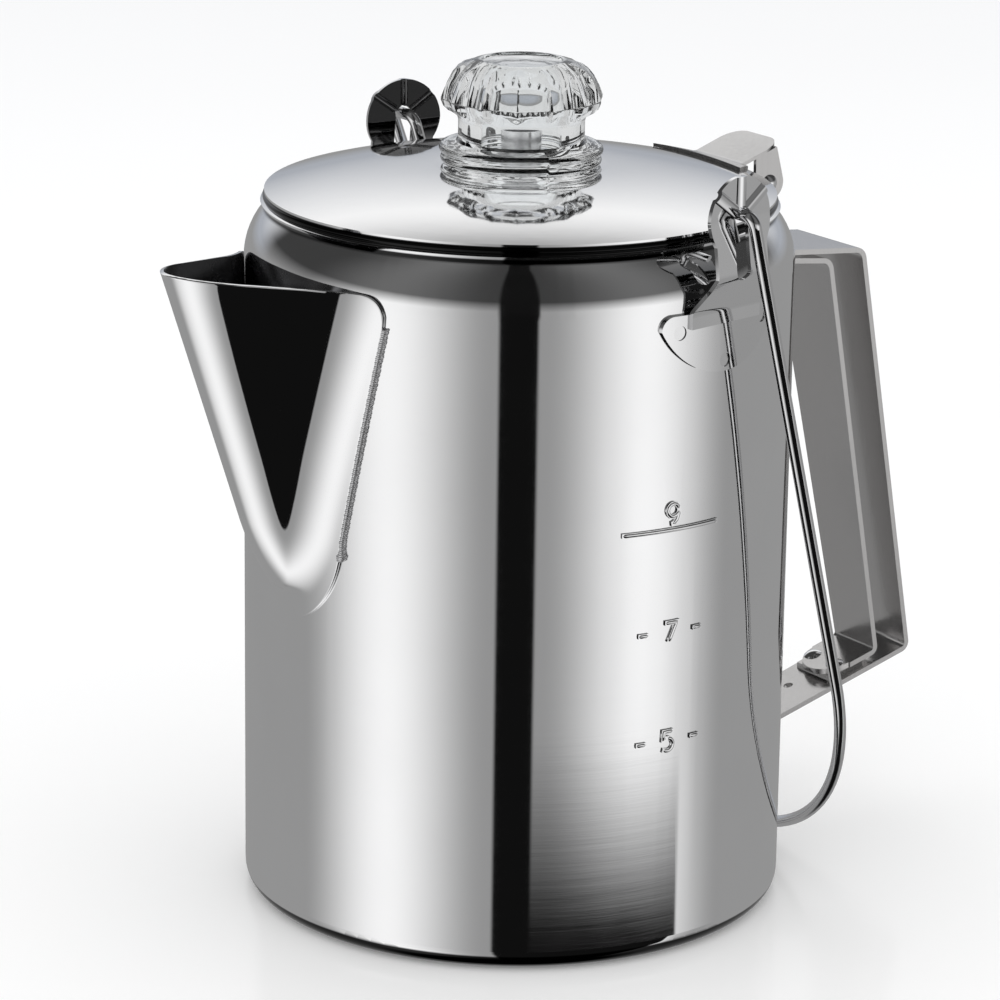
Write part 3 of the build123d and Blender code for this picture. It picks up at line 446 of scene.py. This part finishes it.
def edge_half(z):
    """Half width of the foot's outline at height z."""
    if z >= FAN_Z:
        return FAN_HALF + FOOT_SLOPE * (z - FAN_Z)
    drop = (FAN_Z - z) / (FAN_Z - FOOT_LOW_Z)
    return FAN_HALF * math.sqrt(max(1.0 - drop * drop, 0.0))


def ridge_x(z):
    """Distance of the front ridge from the pot's axis at height z: straight, then an arc."""
    if z > RIDGE_BEND_Z:
        return TIP_X - RIDGE_SLOPE * (TIP_Z - z)
    lean = math.atan(RIDGE_SLOPE)
    centre_x = TIP_X - RIDGE_SLOPE * (TIP_Z - RIDGE_BEND_Z) - RIDGE_BEND_R * math.cos(lean)
    centre_z = RIDGE_BEND_Z + RIDGE_BEND_R * math.sin(lean)
    return centre_x + math.sqrt(RIDGE_BEND_R**2 - (centre_z - z) ** 2)


def section(z):
    """Plan section at height z: the side's angle, the arcs' scale, the flat and the wall's angle.

    From the ridge it runs round the nose and the cheek, straight on, and back in a hollow fillet
    to the wall. The scale makes it as wide as the foot, and the side's angle makes it as deep.
    """
    half = max(edge_half(z) - between(z, ((FOOT_LOW_Z, FLANGE[0]), (FAN_Z, FLANGE[1]))), 0.4)
    foot = math.sqrt(SKIN_R**2 - half**2)
    wall = math.asin(half / SKIN_R)
    flat_start, flat_end, flat_width = CHEEK_FLAT
    straight = flat_width * between(z, ((flat_start, 0.0), (flat_end, 1.0))) ** 0.75
    depth = max(ridge_x(z) - foot, 0.02)

    def scale(side):
        across = (CHEEK_R * (math.sin(side) - math.sin(NOSE_TURN)) + NOSE_R * math.sin(NOSE_TURN)
                  + FILLET_R * (math.sin(side) - math.sin(wall)))
        return (half - straight * math.cos(side)) / across

    def miss(side):
        reach = (NOSE_R * (1 - math.cos(NOSE_TURN)) + CHEEK_R * (math.cos(NOSE_TURN) - math.cos(side))
                 + FILLET_R * (math.cos(wall) - math.cos(side)))
        return scale(side) * reach + straight * math.sin(side) - depth

    side = root(miss, max(wall, NOSE_TURN) + 0.01, math.radians(86.0))
    return side, scale(side), straight, wall


def outline(z):
    """Points (distance from the axis, half width) of one side, from the ridge to the foot."""
    side, scale, straight, wall = section(z)
    points = [(ridge_x(z), 0.0)]

    def bend(start, stop, radius, steps):
        """Add an arc whose face turns from one direction to another; hollow if radius < 0."""
        x, y = points[-1]
        for step in range(1, steps + 1):
            turn = start + (stop - start) * step / steps
            points.append((x + radius * scale * (math.cos(turn) - math.cos(start)),
                           y + radius * scale * (math.sin(turn) - math.sin(start))))

    bend(0.0, NOSE_TURN, NOSE_R, 14)
    bend(NOSE_TURN, side, CHEEK_R, 14)
    x, y = points[-1]
    points.append((x - straight * math.sin(side), y + straight * math.cos(side)))
    bend(side, wall, -FILLET_R, 28)
    return points


def surface_x(outlines, y, z):
    """Distance from the axis of the spout's outer face at (y, z), from the outlines by height."""
    first = outlines[0][0]
    step = outlines[1][0] - first
    place = min(max((z - first) / step, 0.0), len(outlines) - 1.001)
    index = int(place)
    share = place - index
    wall = math.sqrt(SKIN_R**2 - y * y)
    found = []
    for _, points in outlines[index:index + 2]:
        if y >= points[-1][1]:
            found.append(wall)
        else:
            found.append(between(y, [(half, x) for x, half in points]))
    rise = found[0] * (1 - share) + found[1] * share - wall
    return wall + max(rise, 0.0) * between(z, ((RUN_OUT_Z[0], 0.0), (RUN_OUT_Z[1], 1.0)))


def spout_layers():
    """Outlines (height, points) of the spout at even steps from the foot to above the tip."""
    layers = 170
    low, high = FOOT_LOW_Z, TIP_Z + 1.0
    found = []
    for layer in range(layers):
        z = low + (high - low) * layer / (layers - 1)
        found.append((z, outline(max(z, LOWEST_SECTION_Z))))
    return found


def wall_place(outlines, inwards, down):
    """(y, z) above the fan: inwards from the edge to the ridge, down from the rim to the fan."""
    rim_half = edge_half(REAR_RIM_Z)
    top_y = rim_half * (1 - inwards)
    top_x = surface_x(outlines, top_y, REAR_RIM_Z)
    near_edge = min((rim_half - top_y) * 1.25, CORNER_R)
    corner = CORNER_R - math.sqrt(CORNER_R**2 - (CORNER_R - near_edge) ** 2)
    top_z = TIP_Z - (TIP_X - top_x) * RIM_SLOPE - corner
    z = top_z + (FAN_Z - top_z) * down
    return edge_half(z) * (1 - inwards), z


def fan_place(inwards, turn):
    """(y, z) in the round lower end of the foot, in rows that fan out from the ridge."""
    edge_z = FAN_Z - (FAN_Z - FOOT_LOW_Z) * math.sin(turn)
    centre_z = FAN_Z - (FAN_Z - FAN_CENTRE_Z) * math.sin(turn)
    return FAN_HALF * math.cos(turn) * (1 - inwards), edge_z + (centre_z - edge_z) * inwards


def join_halves(piece):
    """Weld the mirrored halves of the spout together, with the faces turned outwards."""
    join = bmesh.new()
    join.from_mesh(piece.data)
    bmesh.ops.remove_doubles(join, verts=join.verts, dist=0.02 * MM)
    bmesh.ops.recalc_face_normals(join, faces=join.faces)
    join.faces.ensure_lookup_table()
    nose = max(join.faces, key=lambda face: face.calc_center_median().z - face.calc_center_median().x)
    if nose.normal.x > 0:
        bmesh.ops.reverse_faces(join, faces=join.faces)
    join.to_mesh(piece.data)
    join.free()


def make_spout():
    """Sheet spout: round nose, hollow cheeks that run out on the wall, rolled upper corners."""
    outlines = spout_layers()
    rows, fan_rows, columns = 150, 44, 90
    half = []
    for row in range(rows + fan_rows):
        for column in range(columns):
            inwards = 1.0 - (1.0 - column / (columns - 1)) ** 1.35
            if row < rows:
                y, z = wall_place(outlines, inwards, row / rows)
            else:
                y, z = fan_place(inwards, math.pi / 2 * (row - rows) / (fan_rows - 1))
            half.append((-surface_x(outlines, y, z), y, z))
    faces = grid_faces(rows + fan_rows, columns)
    points = half + [(x, -y, z) for x, y, z in half]
    mirrored = [tuple(index + len(half) for index in reversed(face)) for face in faces]
    piece = new_piece("spout_sheet", points, faces + mirrored, POLISHED, node="spout")
    piece.data.materials.append(SPOUT_INSIDE_PAINTED_SHADE)
    join_halves(piece)
    smooth = piece.modifiers.new("smooth", "CORRECTIVE_SMOOTH")
    smooth.use_only_smooth = True
    smooth.use_pin_boundary = True
    smooth.factor = 0.5
    smooth.iterations = 12
    thick = piece.modifiers.new("sheet", "SOLIDIFY")
    thick.thickness = SPOUT_SHEET * MM
    thick.offset = -1.0
    thick.use_even_offset = False
    thick.material_offset = 1             # the inner face takes the second material, the dark steel that paints shade inside the spout
    edge = piece.modifiers.new("edge", "BEVEL")
    edge.width = 0.18 * MM
    edge.segments = 2
    edge.limit_method = "ANGLE"
    edge.angle_limit = math.radians(60)


WELD_LOW_Z = 95.0
WELD_HIGH_Z = REAR_RIM_Z - CORNER_R + 0.6
WELD_HALF, WELD_RISE = 0.78, 0.36         # half width of the bead, and its crown above the sheet
WELD_OUT = 0.30                           # the bead's middle lies this far outside the edge
RIPPLE_PITCH, RIPPLE_ROWS = 0.46, 7       # length of a ripple, and rows of points in each
RIPPLE_LAG = 0.35                         # the ripples curve down this far in the middle


def make_welds():
    """Rippled weld bead along both straight edges of the foot, with a blob at its lower end."""
    rows = int((WELD_HIGH_Z - WELD_LOW_Z) / RIPPLE_PITCH) * RIPPLE_ROWS
    columns = 14
    for side in (-1, 1):
        points = []
        for row in range(rows + 1):
            z = WELD_LOW_Z + (WELD_HIGH_Z - WELD_LOW_Z) * row / rows
            ripple = math.cos(math.tau * (row % RIPPLE_ROWS) / RIPPLE_ROWS)
            wobble = 0.06 * math.sin(row * 0.37) + 0.05 * math.sin(row * 0.121 + side)
            blob = 0.55 * math.exp(-((z - WELD_LOW_Z - 1.0) / 1.1) ** 2)
            end = min(1.0, (row + 1) / 4, (rows + 1 - row) / 4)
            half = (WELD_HALF + 0.03 * ripple + wobble + blob) * math.sqrt(end)
            rise = (WELD_RISE + 0.06 * ripple + 0.5 * wobble + 0.4 * blob) * end
            centre = edge_half(z) + WELD_OUT
            for column in range(columns + 1):
                bow = math.sin(math.pi * column / columns)
                y = centre - half * math.cos(math.pi * column / columns)
                radius = SKIN_R - SPOUT_SHEET + 0.05 + (SPOUT_SHEET * 0.75 + rise) * bow
                turn = math.asin(min(y / SKIN_R, 1.0))
                points.append((-radius * math.cos(turn), side * radius * math.sin(turn),
                               z - RIPPLE_LAG * bow))
        name = "weld_near" if side < 0 else "weld_far"
        piece = new_piece(name, points, grid_faces(rows + 1, columns + 1), WELD)
        close = bmesh.new()
        close.from_mesh(piece.data)
        bmesh.ops.holes_fill(close, edges=[e for e in close.edges if e.is_boundary])
        bmesh.ops.recalc_face_normals(close, faces=close.faces)
        close.to_mesh(piece.data)
        close.free()


# ---- level marks -----------------------------------------------------------------
MARK_ANGLE = math.radians(-92.0)          # direction of the numerals from the axis
MARK_STROKE_R = 0.64                      # its centre line is on the wall, so half of it shows
MARK_Z = {"7": 80.0, "5": 53.7, "9": 108.2, "9_line": 104.4}
DASH_TURNS = {"left": math.radians(-6.4), "right": math.radians(6.7)}
DASH = [[(-1.4, 0), (1.4, 0)]]
LINE = [[(-13.1, 0), (13.1, 0)]]
TWELFTHS = [step / 12 for step in range(13)]
SEVEN = [[(-1.6, 2.3), (1.6, 2.3), (-0.5, -2.4)]]
FIVE = [[(1.4, 2.3), (-1.2, 2.3), (-1.3, 0.5), (-0.2, 0.7)],
        [(-0.2 + 1.58 * math.sin(share * math.pi), -0.85 + 1.55 * math.cos(share * math.pi))
         for share in TWELFTHS] + [(-1.5, -2.1)]]
NINE = [[(1.5 * math.cos(share * math.tau), 0.85 + 1.5 * math.sin(share * math.tau))
         for share in TWELFTHS],
        [(1.5, 0.85), (1.45, 0.0), (1.05, -1.3), (0.35, -2.1), (-0.6, -2.4)]]


def mark(name, strokes, z, turn=0.0):
    """Raised round strokes on the wall, from (across, up) points round (turn, z)."""
    thin_end = 0.55
    step_length = 0.6
    curve = bpy.data.curves.new(name, "CURVE")
    curve.dimensions = "3D"
    curve.bevel_depth = MARK_STROKE_R * MM
    curve.bevel_resolution = 5
    curve.use_fill_caps = True
    for stroke in strokes:
        fine = []
        for (x0, y0), (x1, y1) in zip(stroke, stroke[1:]):
            steps = max(int(math.hypot(x1 - x0, y1 - y0) / step_length), 1)
            fine += [(x0 + (x1 - x0) * i / steps, y0 + (y1 - y0) * i / steps) for i in range(steps)]
        fine.append(stroke[-1])
        line = curve.splines.new("POLY")
        line.points.add(len(fine) - 1)
        for point, (x, y) in zip(line.points, fine):
            angle = MARK_ANGLE + turn + x / WALL_R
            place = Vector((WALL_R * math.cos(angle), WALL_R * math.sin(angle), z + y)) * MM
            point.co = (*place, 1.0)
            point.radius = thin_end if (x, y) in (stroke[0], stroke[-1]) else 1.0
        line.use_smooth = True
    curve.materials.append(POLISHED)
    piece = bpy.data.objects.new(name, curve)
    bpy.context.scene.collection.objects.link(piece)
    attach(piece, "pot")


def make_marks():
    """The numerals, their dashes and the line under the top one."""
    for numeral, strokes in (("7", SEVEN), ("5", FIVE)):
        mark(f"mark_{numeral}", strokes, MARK_Z[numeral])
        for side, turn in DASH_TURNS.items():
            mark(f"mark_{numeral}_{side}", DASH, MARK_Z[numeral], turn)
    mark("mark_9", NINE, MARK_Z["9"])
    mark("mark_9_line", LINE, MARK_Z["9_line"])


# ---- glass knob ------------------------------------------------------------------
KNOB_SCALLOPS = 14
KNOB_FOOT_Z = KNOB_LOW.z / MM
KNOB_TOP_Z = KNOB_HIGH.z / MM
KNOB_SEAT_Z = LID_TOP_Z + 0.06            # the knob's flange sits just above the lid
KNOB_R = 19.15                            # over the points between the scallops
SCALLOP_DEPTH = 1.35                      # 1 is a flat facet, more is a hollow one
SCALLOP_SAG = 0.18                        # how far the scallops' edges bend up or down
RIM_MIDDLE = 8.9                          # below the top: above it the edges bend down
THREAD_RISE = 0.28                        # half the rise of the rings in one turn
THREAD_STEP = math.radians(105.0)         # where the rings' step is, round the knob


def arc_points(centre, radius, start, stop, steps=8):
    """Points (radius, height) of an arc given by its angles in degrees."""
    points = []
    for step in range(steps + 1):
        turn = math.radians(start + (stop - start) * step / steps)
        points.append((centre[0] + radius * math.cos(turn), centre[1] + radius * math.sin(turn)))
    return points


def knob_profile():
    """(radius, height, share of the scallops) from the plug's foot up to the crown and inside."""
    top, seat = KNOB_TOP_Z, KNOB_SEAT_Z
    plug = [(9.5, KNOB_FOOT_Z), (14.2, KNOB_FOOT_Z), (14.2, seat - 0.1), (16.2, seat)]
    foot = [(17.2, seat + 0.1), (17.4, seat + 0.35)]
    ring_low = arc_points((18.05, seat + 1.35), 0.9, -80, 110, 12)
    ring_high = arc_points((18.2, seat + 3.75), 1.1, -110, 100, 14)
    neck = [(16.6, seat + 5.1), (15.3, seat + 5.5), (14.85, seat + 6.2), (14.85, top - 14.2),
            (15.1, top - 13.2), (15.7, top - 12.6)]
    rim = [(17.4, top - 11.7), (18.6, top - 10.6), (KNOB_R, top - 9.2), (KNOB_R, top - 8.6)]
    cap = [(18.3, top - 6.4), (17.0, top - 3.9), (15.6, top - 2.2), (14.2, top - 1.2), (12.4, top - 0.6)]
    crown = [(10.6, top - 0.1), (10.1, top), (9.6, top - 0.05), (9.2, top - 0.5), (8.0, top - 0.62),
             (0.01, top - 0.7)]
    roof = [(0.01, top - 3.4), (5.2, top - 3.7)]
    bore = arc_points((5.2, top - 7.9), 4.2, 90, 0) + [(9.4, top - 16.0), (9.45, KNOB_FOOT_Z + 0.6)]
    profile = [(r, z, 0.0) for r, z in plug]
    profile += [(r, z, 0.7) for r, z in foot]
    profile += [(r, z, 0.0) for r, z in ring_low + ring_high + neck]
    profile += [(r, z, 1.0) for r, z in rim]
    profile += [(r, z, share) for (r, z), share in zip(cap, (1.0, 1.0, 1.0, 0.8, 0.45))]
    profile += [(r, z, 0.0) for r, z in crown + roof + bore]
    return profile


def make_knob():
    """Moulded glass knob: scalloped cap, neck, two rising rings and a scalloped foot."""
    columns = KNOB_SCALLOPS * 16
    profile = knob_profile()
    pitch = math.tau / KNOB_SCALLOPS
    points = []
    for radius, z, share in profile:
        on_rings = share == 0.0 and radius > 15.2 and KNOB_SEAT_Z + 0.6 < z < KNOB_SEAT_Z + 5.3
        sag = SCALLOP_SAG * share * (1.0 if z < KNOB_TOP_Z - RIM_MIDDLE else -1.0)
        for column in range(columns):
            angle = math.tau * column / columns
            facet = math.cos(pitch / 2) / math.cos((angle % pitch) - pitch / 2)
            r = radius * (1.0 - share * SCALLOP_DEPTH * (1.0 - facet))
            height = z + sag * (1.0 - facet) / (1.0 - math.cos(pitch / 2))
            if on_rings:
                height += THREAD_RISE * (((angle + THREAD_STEP) % math.tau) / math.pi - 1.0)
            points.append((r * math.cos(angle), r * math.sin(angle), height))
    faces = grid_faces(len(profile), columns, closed=True)
    last = (len(profile) - 1) * columns
    for column in range(columns):
        after = (column + 1) % columns
        faces.append((last + column, last + after, after, column))    # joins the bore to the foot
    piece = new_piece("knob_glass", points, faces, GLASS, node="glass_knob", body="knob")
    tidy = bmesh.new()
    tidy.from_mesh(piece.data)
    bmesh.ops.remove_doubles(tidy, verts=tidy.verts, dist=0.03 * MM)
    bmesh.ops.recalc_face_normals(tidy, faces=tidy.faces)
    tidy.to_mesh(piece.data)
    tidy.free()
    piece.data.polygons.foreach_set("use_smooth", [True] * len(piece.data.polygons))
    piece.data.set_sharp_from_angle(angle=math.radians(24))


def paint_cad():
    """Give every CAD node the material of its record slot; the pot, the lid and the bail brackets get
    steel with painted shade instead.
    """
    for part in frame["record"]["subparts"]:
        mesh = nodes[part["node"]].data
        mesh.materials.clear()
        mesh.materials.append(BY_NODE.get(part["node"], BY_SLOT[part["material_slot"]]))


make_studio()
make_floor()
make_camera()
paint_cad()
make_spout()
make_welds()
make_marks()
make_knob()
